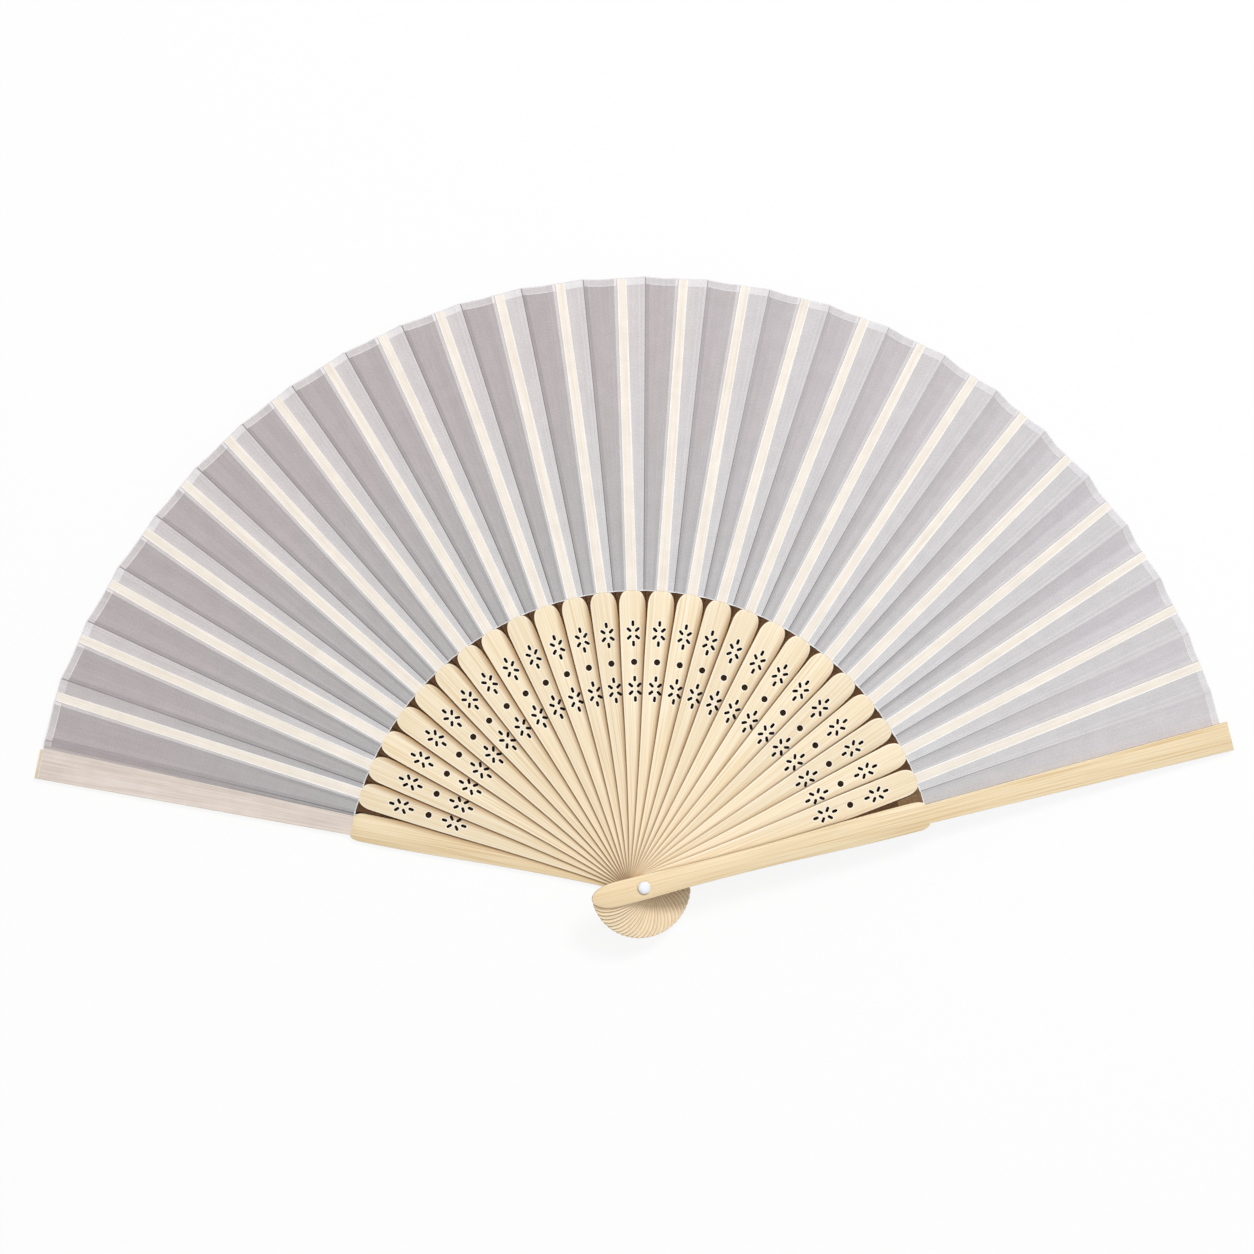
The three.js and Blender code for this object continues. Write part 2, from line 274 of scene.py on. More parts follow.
def planed_bamboo(name, face, fibre, tone, next_blade=None):
    """Bamboo planed along the grain under a thin varnish: pale, with fine darker fibres along each blade,
    a slow drift of tone, a tan from handling near the rivet, and a satin gloss that the fibres break up.
    Where another blade lies on it, given by its turn and width, the shade of that blade is painted
    along its edge, as strongly as the piece's own colour value says.
    Real fibres are about 0.2 mm wide, and are drawn 0.4 mm wide here so that they show."""
    fibre_w, fibre_l, fibre_range, fibre_most = 0.4 * MM, 40 * MM, (0.42, 0.7), 0.95
    drift_w, drift_l, drift_range, drift_most = 2.5 * MM, 90 * MM, (0.35, 0.68), 0.55
    tan, handled_r, clean_r, handled_most = linear("#F3D6A6"), 5 * MM, 55 * MM, 0.36
    grain_shift, darkest, brightest = (0.31, 0.83, 0.0), 0.96, 1.03
    (gloss_start, gloss_end), smoothest, roughest = (0.3, 0.7), 0.42, 0.6
    relief_share, relief_h = 0.25, 0.05 * MM
    material, tree, shader = new_material(name)
    spot = add_node(tree, "ShaderNodeTexCoord").outputs["Object"]
    piece = add_node(tree, "ShaderNodeObjectInfo").outputs
    own = piece["Random"]
    apart = {0: own, 1: grain_shift}
    shift = add_node(tree, "ShaderNodeVectorMath", apart, operation="MULTIPLY").outputs[0]
    shifted = add_node(tree, "ShaderNodeVectorMath", {0: spot, 1: shift}, operation="ADD").outputs[0]
    colour, grain = linear(face), []
    for tint, width, length, detail, (start, full), most in (
        (fibre, fibre_w, fibre_l, 3.0, fibre_range, fibre_most),
        (tone, drift_w, drift_l, 1.0, drift_range, drift_most),
    ):
        stretched = {0: shifted, 1: (1 / width, 1 / length, 1 / width)}
        lengthwise = add_node(tree, "ShaderNodeVectorMath", stretched, operation="MULTIPLY").outputs[0]
        noise = add_node(tree, "ShaderNodeTexNoise", {"Vector": lengthwise, "Scale": 1.0, "Detail": detail})
        grain.append(noise.outputs["Fac"])
        shown = {0: grain[-1], 1: start, 2: full, 3: 0.0, 4: most}
        share = add_node(tree, "ShaderNodeMapRange", shown).outputs[0]
        tinted = {"Factor_Float": share, "A_Color": colour, "B_Color": linear(tint)}
        colour = add_node(tree, "ShaderNodeMix", tinted, data_type="RGBA").outputs[2]
    along = add_node(tree, "ShaderNodeSeparateXYZ", {0: spot}).outputs["Y"]
    handled = {0: along, 1: handled_r, 2: clean_r, 3: handled_most, 4: 0.0}
    share = add_node(tree, "ShaderNodeMapRange", handled).outputs[0]
    tanned = {"Factor_Float": share, "A_Color": colour, "B_Color": tan}
    colour = add_node(tree, "ShaderNodeMix", tanned, data_type="RGBA").outputs[2]
    value = add_node(tree, "ShaderNodeMapRange", {0: own, 3: darkest, 4: brightest}).outputs[0]
    colour = add_node(tree, "ShaderNodeHueSaturation", {"Color": colour, "Value": value}).outputs[0]
    if next_blade:
        # Painted shade along the edge of the next blade above.
        colour = painted_lap_shade(tree, spot, colour, piece["Color"], *next_blade)
    broken = {0: grain[0], 1: gloss_start, 2: gloss_end, 3: smoothest, 4: roughest}
    gloss = add_node(tree, "ShaderNodeMapRange", broken).outputs[0]
    raised = {"Height": grain[0], "Strength": relief_share, "Distance": relief_h}
    relief = add_node(tree, "ShaderNodeBump", raised).outputs[0]
    tree.links.new(colour, shader.inputs["Base Color"])
    tree.links.new(gloss, shader.inputs["Roughness"])
    tree.links.new(relief, shader.inputs["Normal"])
    return material


guard_edges = ["edge", "edge", "rim", "rim"]
guard_profile = [
    (GUARD_EASING, 0),
    (0, GUARD_EASING),
    (0, GUARD_T - GUARD_EASING),
    (GUARD_EASING / 3, GUARD_T - GUARD_EASING / 3),
    (GUARD_EASING, GUARD_T),
]
guard_outline = blade_outline(GUARD_BLADE_W, GUARD_SHOULDER_L, GUARD_NECK_W, GUARD_TIP_W, GUARD_REACH)
guard_loops = [(loop, guard_profile, guard_edges) for loop in (guard_outline, round_hole(0, BORE_D))]
GUARD_FACE = ("#F1DDB8", "#D3B078", "#F2DFBC")
# Painted highlight on the guards' eased top edges.
GUARD_RIM_HIGHLIGHT = ("#F6E6C6", "#EBD4A8", "#F8ECD2")
guard_edge = planed_bamboo("guard_bamboo_edge", "#D9B77C", "#C49C5E", "#E0C28C")
# The back guard gets the painted lap shade of stick 1's edge, and the front guard none.
for blade, node, next_blade in (
    (0, "guard_back", (shares[1] * SPREAD, STICK_BLADE_W)),
    (FRONT, "guard_front", None),
):
    guard_mesh = cut_blade(node, guard_loops)
    for finish, colours in (("face", GUARD_FACE), ("rim", GUARD_RIM_HIGHLIGHT)):
        guard_mesh.materials.append(planed_bamboo(f"{node}_bamboo_{finish}", *colours, next_blade))
    guard_mesh.materials.append(guard_edge)
    guard = place(f"{node}_bamboo", guard_mesh, blade_place(blade))
    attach(guard, body_of_blade(blade))
    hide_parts(node)

# Inner sticks: 25 thin slats of planed bamboo between the guards, one level higher each.
# Each is pierced near its shoulders with a flower, a round hole and a second flower.
# The piercing's walls are painted nearly black, as painted shade. The narrow rib beyond carries the leaf.
REACH = 192.0
RIB_START_W, RIB_TIP_W = 3.4, 2.9
STICK_EASING, STICK_BEVEL_W, STICK_RIM_W = 0.12, 0.12, 0.45
HOLE_BEVEL_W, HOLE_RIM_W = 0.05, 0.38
LEAF_TO_FLOWER, FLOWER_TO_DOT, DOT_TO_FLOWER = 13.6, 9.0, 8.5
DOT_D = 1.9
SLOT_L, SLOT_W = 1.8, 0.85
AXIAL_SLOT_REACH, SIDE_SLOT_ACROSS, SIDE_SLOT_ALONG = 3.2, 1.3, 1.2
# Up to this stick the painted lap shade is full, then less with each stick, down to the least.
LAP_SHADE_FULL, LAP_SHADE_STEP, LAP_SHADE_LEAST = 16, 0.12, 0.35


def slot_hole(centre, across, offset, facets=5):
    """One rice-grain slot, clockwise, round at both ends and pointing at the flower's centre."""
    direction = math.atan2(offset, across)
    half = (SLOT_L - SLOT_W) / 2
    rim = []
    for end in (1, -1):
        for step in range(facets + 1):
            turn = math.pi / 2 - math.pi * step / facets + (0 if end == 1 else math.pi)
            local = Vector((end * half + SLOT_W / 2 * math.cos(turn), SLOT_W / 2 * math.sin(turn)))
            local.rotate(Matrix.Rotation(direction, 2))
            rim.append((across + local.x, centre + offset + local.y))
    return rim


def flower_holes(centre):
    """Six slots: one above, one below and two on each side."""
    slots = [(0, AXIAL_SLOT_REACH), (0, -AXIAL_SLOT_REACH)]
    slots += [(side * SIDE_SLOT_ACROSS, end * SIDE_SLOT_ALONG) for side in (1, -1) for end in (1, -1)]
    return [slot_hole(centre, across, offset) for across, offset in slots]


upper_flower = LEAF_INNER - LEAF_TO_FLOWER
dot = upper_flower - FLOWER_TO_DOT
lower_flower = dot - DOT_TO_FLOWER
piercing = [*flower_holes(upper_flower), round_hole(dot, DOT_D), *flower_holes(lower_flower)]
stick_profile = [
    (STICK_EASING, 0),
    (0, STICK_EASING),
    (0, STICK_T - STICK_EASING),
    (STICK_BEVEL_W, STICK_T - STICK_EASING / 3),
    (STICK_RIM_W, STICK_T),
]
hole_profile = [*stick_profile[:-2], (HOLE_BEVEL_W, STICK_T - STICK_EASING / 3), (HOLE_RIM_W, STICK_T)]
stick_edges = ["edge", "edge", "edge", "rim"]
# The piercing's walls are painted shade.
pierced_edges = ["hole_shade", "hole_shade", "hole_shade", "rim"]
stick_outline = blade_outline(STICK_BLADE_W, STICK_SHOULDER_L, RIB_START_W, RIB_TIP_W, REACH)
stick_loops = [(loop, stick_profile, stick_edges) for loop in (stick_outline, round_hole(0, BORE_D))]
stick_loops += [(hole, hole_profile, pierced_edges) for hole in piercing]


def shaded_hole_wall(deep, pale):
    """Painted shade for the piercing's walls: nearly black brown and dull, with a fine mottling of about
    0.15 mm, as drawn."""
    grit = 0.15 * MM
    material, tree, shader = new_material("hole_wall_painted_shade")
    spot = add_node(tree, "ShaderNodeTexCoord").outputs["Object"]
    wall_mottle = add_node(tree, "ShaderNodeTexNoise", {"Vector": spot, "Scale": 1 / grit, "Detail": 2.0})
    hole_shade = {"Factor_Float": wall_mottle.outputs["Fac"], "A_Color": linear(deep), "B_Color": linear(pale)}
    colour = add_node(tree, "ShaderNodeMix", hole_shade, data_type="RGBA").outputs[2]
    tree.links.new(colour, shader.inputs["Base Color"])
    shader.inputs["Roughness"].default_value = 0.9
    return material


STICK_FACE = ("#F9EACE", "#E6CC9E", "#F4E2BF")
# Painted highlight on the sticks' eased top edges and around the holes.
STICK_RIM_HIGHLIGHT = ("#FFF5E2", "#F8E9CC", "#FFF8EA")
stick_edge = planed_bamboo("stick_bamboo_edge", "#C69C5C", "#AB8044", "#D0AB6E")
hole_wall_shade = shaded_hole_wall("#120B06", "#2E1E11")
stick_meshes = []
# Each stick's face and rim get the painted lap shade of the next blade's edge; the last stick's is the front
# guard's.
for name, next_blade in (
    ("stick", ((shares[2] - shares[1]) * SPREAD, STICK_BLADE_W)),
    ("last_stick", ((shares[FRONT] - shares[FRONT - 1]) * SPREAD, GUARD_BLADE_W)),
):
    stick_mesh = cut_blade(name, stick_loops)
    for finish, colours in (("face", STICK_FACE), ("rim", STICK_RIM_HIGHLIGHT)):
        stick_mesh.materials.append(planed_bamboo(f"{name}_bamboo_{finish}", *colours, next_blade))
    for bamboo in (stick_edge, hole_wall_shade):
        stick_mesh.materials.append(bamboo)
    stick_meshes.append(stick_mesh)
for blade in range(1, FRONT):
    stick = place(f"stick_{blade:02d}_bamboo", stick_meshes[blade == FRONT - 1], blade_place(blade))
    # How strong this stick's painted lap shade is, set as its object colour.
    lap_shade_strength = max(LAP_SHADE_LEAST, min(1.0, 1 - (blade - LAP_SHADE_FULL) * LAP_SHADE_STEP))
    stick.color = (lap_shade_strength, lap_shade_strength, lap_shade_strength, 1)
    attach(stick, body_of_blade(blade))
    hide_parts(f"stick_{blade:02d}")

# Shade sheet: one dark band under the sticks below their shoulders, folded up between them. It stands
# in for the shade seen brown in the gaps there and dark through the piercing. Its tones are painted shade:
# paler beside the front guard, darker lower down, darker behind the dots and nearly black behind the
# flowers.
SHADE_SHEET_ROWS = [54.0, 66.0, 74.0, 84.5, 92.4]
SHEET_DROP, EDGE_ROOM, GUARD_LAP, UNDER_MIDDLE_W = 0.12, 0.15, 1.5, 4.8
FOLD_EASE, FOLD_OUT, SHARP_FOLD = 0.05, 0.3, math.radians(25)
places = [blade_place(blade) for blade in range(FRONT + 1)]


def on_blade(blade, across, along, height):
    """A point over a blade in metres, from its place in mm."""
    return places[blade] @ Vector((across * MM, along * MM, height * MM))


def square_half(blade, along):
    """Half a blade's width in mm, as if its shoulders were square."""
    on_guard = blade in (0, FRONT)
    blade_w = GUARD_BLADE_W if on_guard else STICK_BLADE_W
    shoulder_l = GUARD_SHOULDER_L if on_guard else STICK_SHOULDER_L
    rise = min(1.0, (along - WAIST_R) / (LEAF_INNER - shoulder_l - WAIST_R))
    return (WAIST_W + (blade_w - WAIST_W) * rise * rise * (3 - 2 * rise)) / 2


def shade_sheet_section(along):
    """The band across the fan: (point, share of the turn, finish of the strip to its right). From the
    middle of each stick it runs under the stick's right edge, folds up there, and goes under the next
    stick to its middle."""
    glued = (0, square_half(0, along) - GUARD_LAP)
    section = []
    for blade in range(FRONT):
        upper, thickness = blade + 1, GUARD_T if blade == 0 else STICK_T
        edge, own = square_half(blade, along) + EDGE_ROOM, shares[blade]
        plain = "beside_front_guard" if upper == FRONT else "plain_sheet_shade"
        section.append((on_blade(*glued, along, -SHEET_DROP), own, "under_middle" if blade else plain))
        if blade:
            section.append((on_blade(blade, UNDER_MIDDLE_W / 2, along, -SHEET_DROP), own, plain))
        section.append((on_blade(blade, edge - FOLD_EASE, along, -SHEET_DROP), own, plain))
        halfway = on_blade(blade, edge + FOLD_OUT, along, (thickness + STACK_GAP) / 2)
        fold = on_blade(blade, edge, along, thickness + STACK_GAP - SHEET_DROP)
        section += [(halfway, own, plain), (fold, own, plain)]
        fold_across = (places[upper].inverted() @ fold).x / MM
        middle_start = max(-UNDER_MIDDLE_W / 2, fold_across + FOLD_EASE)
        turn = own + (shares[upper] - own) * (1 - middle_start / fold_across)
        finish = "under_middle" if upper < FRONT else plain
        section.append((on_blade(upper, middle_start, along, -SHEET_DROP), turn, finish))
        glued = (upper, 0)
    return [*section, (on_blade(*glued, along, -SHEET_DROP), shares[FRONT], "plain_sheet_shade")]


def pleated_sheet(name, sections, finishes):
    """One sheet through the sections, which turns with the blades. Each step between two sections has
    its own set of finishes. The flat pattern is laid out as the open fan lies."""
    width = len(sections[0])
    points = [point for section in sections for point, share, finish in section]
    faces = [
        (corner, corner + 1, corner + 1 + width, corner + width)
        for row in range(len(sections) - 1)
        for corner in range(row * width, (row + 1) * width - 1)
    ]
    mesh = bpy.data.meshes.new(name)
    mesh.from_pydata(points, [], faces)
    materials = list(dict.fromkeys(material for row in finishes for material in row.values()))
    for material in materials:
        mesh.materials.append(material)
    for face in mesh.polygons:
        row, column = divmod(face.vertices[0], width)
        face.material_index = materials.index(finishes[row][sections[0][column][2]])
    mesh.polygons.foreach_set("use_smooth", [True] * len(faces))
    mesh.set_sharp_from_angle(angle=SHARP_FOLD)
    pattern = mesh.uv_layers.new(name="cut")
    for loop in mesh.loops:
        pattern.data[loop.index].uv = points[loop.vertex_index].xy
    sheet = place(name, mesh)
    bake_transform(sheet, "back_blade", "front_blade", points[0], points[width - 1])
    # Each point's own share of the turn takes the place of the even share that the blend gave it.
    turns = [share for section in sections for point, share, finish in section]
    mesh.attributes["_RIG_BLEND"].data.foreach_set("value", turns)
    return sheet


def sheet_shade_tone(name, deep, pale):
    """Painted shade for the shade sheet: dull and dark and cloudy, like dyed tissue. Its fibres are about
    0.03 mm thick, and are drawn as clouds of 0.7 mm here so that they show."""
    cloud, deep_end, pale_end = 0.7 * MM, 0.35, 0.65
    relief_share, relief_h = 0.2, 0.05 * MM
    material, tree, shader = new_material(name)
    spot = add_node(tree, "ShaderNodeUVMap", uv_map="cut").outputs["UV"]
    noise = add_node(tree, "ShaderNodeTexNoise", {"Vector": spot, "Scale": 1 / cloud, "Detail": 4.0})
    clouding = noise.outputs["Fac"]
    share = add_node(tree, "ShaderNodeMapRange", {0: clouding, 1: deep_end, 2: pale_end}).outputs[0]
    mottled = {"Factor_Float": share, "A_Color": linear(deep), "B_Color": linear(pale)}
    colour = add_node(tree, "ShaderNodeMix", mottled, data_type="RGBA").outputs[2]
    raised = {"Height": clouding, "Strength": relief_share, "Distance": relief_h}
    relief = add_node(tree, "ShaderNodeBump", raised).outputs[0]
    tree.links.new(colour, shader.inputs["Base Color"])
    tree.links.new(relief, shader.inputs["Normal"])
    shader.inputs["Roughness"].default_value = 0.95
    shader.inputs["Specular IOR Level"].default_value = 0.2
    return material


# Painted shade tones of the sheet: plain between the shoulders, darker in the crevices lower down, painted
# lighter beside the front guard, darker behind the dots and nearly black behind the flowers.
plain_sheet_shade = sheet_shade_tone("sheet_shade_plain", "#4F3826", "#674B34")
crevice_sheet_shade = sheet_shade_tone("sheet_shade_crevice", "#3E2C1E", "#513B29")
lit_sheet_shade = sheet_shade_tone("sheet_shade_beside_front_guard", "#735A42", "#8D7254")
dot_sheet_shade = sheet_shade_tone("sheet_shade_behind_dots", "#291C12", "#382718")
flower_sheet_shade = sheet_shade_tone("sheet_shade_behind_flowers", "#0C0704", "#180F08")
behind_flowers = {"plain_sheet_shade": crevice_sheet_shade, "beside_front_guard": plain_sheet_shade, "under_middle": flower_sheet_shade}
behind_dots = {"plain_sheet_shade": crevice_sheet_shade, "beside_front_guard": plain_sheet_shade, "under_middle": dot_sheet_shade}
between_shoulders = {"plain_sheet_shade": plain_sheet_shade, "beside_front_guard": lit_sheet_shade, "under_middle": plain_sheet_shade}
shade_sheet = pleated_sheet(
    "backing_paper",
    [shade_sheet_section(along) for along in SHADE_SHEET_ROWS],
    [behind_flowers, behind_dots, behind_flowers, between_shoulders],
)

# Rivet: a moulded pin with a pearly domed head on the front guard, and a flat cap under the back guard.
# It holds all the blades and is the pivot that they turn on.
PIN_D, HEAD_D, HEAD_H, HEAD_RIM, HEAD_TIP_R = 2.0, 4.0, 1.3, 0.6, 0.05
CAP_D, CAP_T, CAP_EASING, SEAT_GAP = 4.6, 0.5, 0.12, 0.3
RIVET_FACETS, SHARP_TURNED = 48, math.radians(40)


def turned(name, profile):
    """A solid turned round Z from a profile of (radius, height) in mm, foot first."""
    points = [
        (radius * math.cos(turn) * MM, radius * math.sin(turn) * MM, height * MM)
        for radius, height in profile
        for turn in (2 * math.pi * step / RIVET_FACETS for step in range(RIVET_FACETS))
    ]
    faces = [tuple(reversed(range(RIVET_FACETS)))]
    for ring in range(len(profile) - 1):
        for step in range(RIVET_FACETS):
            first, after = ring * RIVET_FACETS + step, ring * RIVET_FACETS + (step + 1) % RIVET_FACETS
            faces.append((first, after, after + RIVET_FACETS, first + RIVET_FACETS))
    faces.append(tuple(range(len(points) - RIVET_FACETS, len(points))))
    mesh = bpy.data.meshes.new(name)
    mesh.from_pydata(points, [], faces)
    mesh.polygons.foreach_set("use_smooth", [True] * len(mesh.polygons))
    mesh.set_sharp_from_angle(angle=SHARP_TURNED)
    return mesh


def pearl_plastic(name, cool, white):
    """Acrylic moulded with pearl pigment: cool white, cloudy inside, with a soft clear gloss.
    The swirls of pigment are about 1 mm wide."""
    swirl_w, swirl_bend = 1.1 * MM, 0.8
    material, tree, shader = new_material(name)
    spot = add_node(tree, "ShaderNodeTexCoord").outputs["Object"]
    clouds = {"Vector": spot, "Scale": 1 / swirl_w, "Detail": 2.0, "Distortion": swirl_bend}
    swirl = add_node(tree, "ShaderNodeTexNoise", clouds).outputs["Fac"]
    pearl = {"Factor_Float": swirl, "A_Color": linear(cool), "B_Color": linear(white)}
    colour = add_node(tree, "ShaderNodeMix", pearl, data_type="RGBA").outputs[2]
    tree.links.new(colour, shader.inputs["Base Color"])
    shader.inputs["Roughness"].default_value = 0.28
    shader.inputs["IOR"].default_value = 1.49
    shader.inputs["Coat Weight"].default_value = 0.4
    shader.inputs["Coat Roughness"].default_value = 0.1
    return material


pin_foot = BACK_LEVEL / math.cos(LEAN)
head_seat = (level_of(FRONT) + GUARD_T) / math.cos(LEAN) + SEAT_GAP
dome_turns = [math.radians(90 * step / CURVE_STEPS) for step in range(CURVE_STEPS)]
dome = [
    (HEAD_D / 2 * math.sqrt(math.cos(turn)), head_seat + HEAD_RIM + (HEAD_H - HEAD_RIM) * math.sin(turn))
    for turn in dome_turns
]
pin_profile = [
    (PIN_D / 2, pin_foot),
    (PIN_D / 2, head_seat),
    (HEAD_D / 2, head_seat),
    *dome,
    (HEAD_TIP_R, head_seat + HEAD_H),
]
cap_profile = [
    (CAP_D / 2 - CAP_EASING, 0),
    (CAP_D / 2, CAP_EASING),
    (CAP_D / 2, CAP_T - CAP_EASING),
    (CAP_D / 2 - CAP_EASING, CAP_T),
]
pearl_acrylic = pearl_plastic("pearl_acrylic_moulded", "#E6E9F3", "#FCFCFD")
for node, profile, matrix in (
    ("rivet_pin", pin_profile, along_rivet),
    ("rivet_cap", cap_profile, Matrix.Identity(4)),
):
    rivet = place(f"{node}_pearl", turned(node, profile), matrix)
    rivet.data.materials.append(pearl_acrylic)
    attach(rivet, "back_blade")
    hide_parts(node)

# Leaf: one piece of plain woven silk, cut as a ring sector, glued on the ribs and pressed into pleats.
# On each blade it lies on the rib and rises past it to a ridge. Then it falls and runs level to the next.
# It starts glued over the back guard and ends tucked under the front guard.
SILK_LIFT = 0.06
UNDER_LIFT, MARGIN_LIFT, SLIP_ROOM = STACK_GAP / 2, 0.42, 0.3
MARGIN_INNER, MARGIN_OUTER = 0.6, 1.1
FOOT_INNER, FOOT_OUTER = 0.9, 1.9
RIDGE_INNER, RIDGE_OUTER = 1.7, 5.3
FIRST_PLEAT, PLEAT_GROWTH = 0.78, 0.024
GUARD_RIDGE_INNER, GUARD_RIDGE_OUTER = 0.8, 3.2
GUARD_BARE_W = 0.15
PLEAT_SLOPE, LAST_SLOPE, SLOPE_STEP = 0.38, 0.05, 0.1
RIB_BORDER_W, RIB_SIDE_W = 0.35, 0.35
# Strips from a blade's right side to the ridge: the share of the way where each starts, and its finish.
PRESSED = [(0.0, "light"), (0.66, "line"), (0.74, "light"), (0.88, "line")]
PRESSED_OVER_GUARD = [(0.2, "shade"), (0.5, "dark")]
# The first pleat is painted in shade up to its ridge.
PRESSED_FIRST = [(0.0, "first")]
CREASE_W, CREASE_SIDE_W = 0.35, 1.4
CREASE_MOST, CREASE_SIDE_MOST = 0.08, 0.25
# Where the outer edge is cut long: the blade, how much longer there, and how much less at each next one.
CUT_LONG = [(1, 1.7, 0.6), (18, 1.6, 0.3)]
LEAF_ROWS = 25
FALL_STEPS = 12


def outward(inner, outer, along, end=REACH):
    """A width that grows evenly from the leaf's inner edge to an end."""
    return inner + (outer - inner) * (along - LEAF_INNER) / (end - LEAF_INNER)


def cut_along(blade, along):
    """Where a row of the leaf crosses a blade. The outer edge is cut by hand, and stands out a little
    beside the back guard and again in the right half."""
    longer = max(0.0, *(most - step * abs(blade - longest) for longest, most, step in CUT_LONG))
    return along + outward(0.0, longer, along)


def blade_half(blade, along):
    """Half the width of the blade under the leaf."""
    if blade in (0, FRONT):
        return outward(GUARD_NECK_W, GUARD_TIP_W, along, GUARD_REACH) / 2
    return outward(RIB_START_W, RIB_TIP_W, along) / 2


def margin_start(blade, along):
    """Where the leaf meets a blade's left side."""
    if blade == FRONT:
        return -blade_half(blade, along)
    return -blade_half(blade, along) - outward(MARGIN_INNER, MARGIN_OUTER, along)


def ridge_past(blade, along):
    """How far past a blade's right side the leaf's ridge stands."""
    if blade == 0:
        return outward(GUARD_RIDGE_INNER, GUARD_RIDGE_OUTER, along)
    return outward(RIDGE_INNER, RIDGE_OUTER, along) * (FIRST_PLEAT + PLEAT_GROWTH * blade)


def seated(blade, along, lift):
    """The part of the leaf that stays on one blade, as (point, share of the turn, finish of the strip to
    its right)."""
    half, past = blade_half(blade, along), ridge_past(blade, along)
    spots, pressed, thickness = [(GUARD_BARE_W - half, "guard")], PRESSED_OVER_GUARD, GUARD_T
    if blade > 0:
        spots = [(-half - RIB_SIDE_W, "rib_side"), (-half, "border")]
        spots += [(RIB_BORDER_W - half, "rib"), (half - RIB_BORDER_W, "border")]
        pressed, thickness = PRESSED_FIRST if blade == 1 else PRESSED, STICK_T
    spots += [(half + share * past, finish) for share, finish in pressed]
    spots.append((half + past, "crease" if blade else "guard_crease"))
    slope = min(PLEAT_SLOPE, LAST_SLOPE + SLOPE_STEP * (FRONT - 1 - blade))
    seat, row = thickness + SILK_LIFT + lift, cut_along(blade, along)
    return [
        (on_blade(blade, across, row, seat + slope * max(0, across - half)), shares[blade], finish)
        for across, finish in spots
    ]


def fallen(blade, along, lift):
    """The part of the leaf from a blade's ridge to the next blade's left side. It falls, runs level at the
    height of the gap under that blade, and its foot rises beside the blade and stays with it. As the fan
    closes, the level part slips into the gap, and the falling part comes to lie to the right of it."""
    upper, thickness = blade + 1, GUARD_T if blade == 0 else STICK_T
    top = seated(blade, along, lift)[-1][0]
    past, own = ridge_past(blade, along), shares[blade]
    ridge, margin = blade_half(blade, along) + past, -margin_start(upper, along)
    foot_w = 0.0 if upper == FRONT else outward(FOOT_INNER, FOOT_OUTER, along)
    own_r, upper_r = cut_along(blade, along), cut_along(upper, along)
    foot = on_blade(upper, -margin, upper_r, lift - UNDER_LIFT)
    up = places[blade].to_3x3() @ Vector((0, 0, MM))
    level_top = on_blade(blade, ridge, own_r, thickness + STACK_GAP + lift - UNDER_LIFT)
    rise = (top - level_top).dot(up) / up.length_squared
    whole_turn = SPREAD * (own_r + upper_r) / 2
    width = (shares[upper] - own) * whole_turn - ridge - margin
    crease, side = min(CREASE_MOST, CREASE_W / width), min(CREASE_SIDE_MOST, CREASE_SIDE_W / width)
    folded, low = past / (ridge + margin), 1 - foot_w / width
    closed_right, closed_left = blade_half(upper, along) + SLIP_ROOM, margin + foot_w
    steps = [side + (low - side) * step / FALL_STEPS for step in range(FALL_STEPS + 1)]
    points = []
    for step in [crease, *steps]:
        if step < folded:
            closed = ridge + (closed_right - ridge) * step / folded
        else:
            closed = closed_right - (closed_right + closed_left) * (step - folded) / (low - folded)
        turn = own + (ridge + width * step - closed) / whole_turn
        fall = max(0.0, 1 - step / folded)
        points.append((level_top.lerp(foot, step) + up * rise * fall, turn, "dark"))
    points[0] = (*points[0][:2], "crease_side")
    if upper == FRONT:
        return points
    points[-1] = (*points[-1][:2], "foot")
    return [*points, (foot + up * (UNDER_LIFT + MARGIN_LIFT), shares[upper], "margin")]


def leaf_section(along, lift):
    """The whole leaf across at a distance from the rivet."""
    section = []
    for blade in range(FRONT):
        section += seated(blade, along, lift) + fallen(blade, along, lift)
    tuck = blade_half(FRONT, along) - GUARD_BARE_W
    return [*section, (on_blade(FRONT, tuck, along, lift - UNDER_LIFT), 1.0, "dark")]


def leaf_strip(name, rows, lift, finishes):
    """The leaf between the first and last of the rows, as one sheet."""
    strip = pleated_sheet(name, [leaf_section(along, lift) for along in rows], finishes)
    return strip


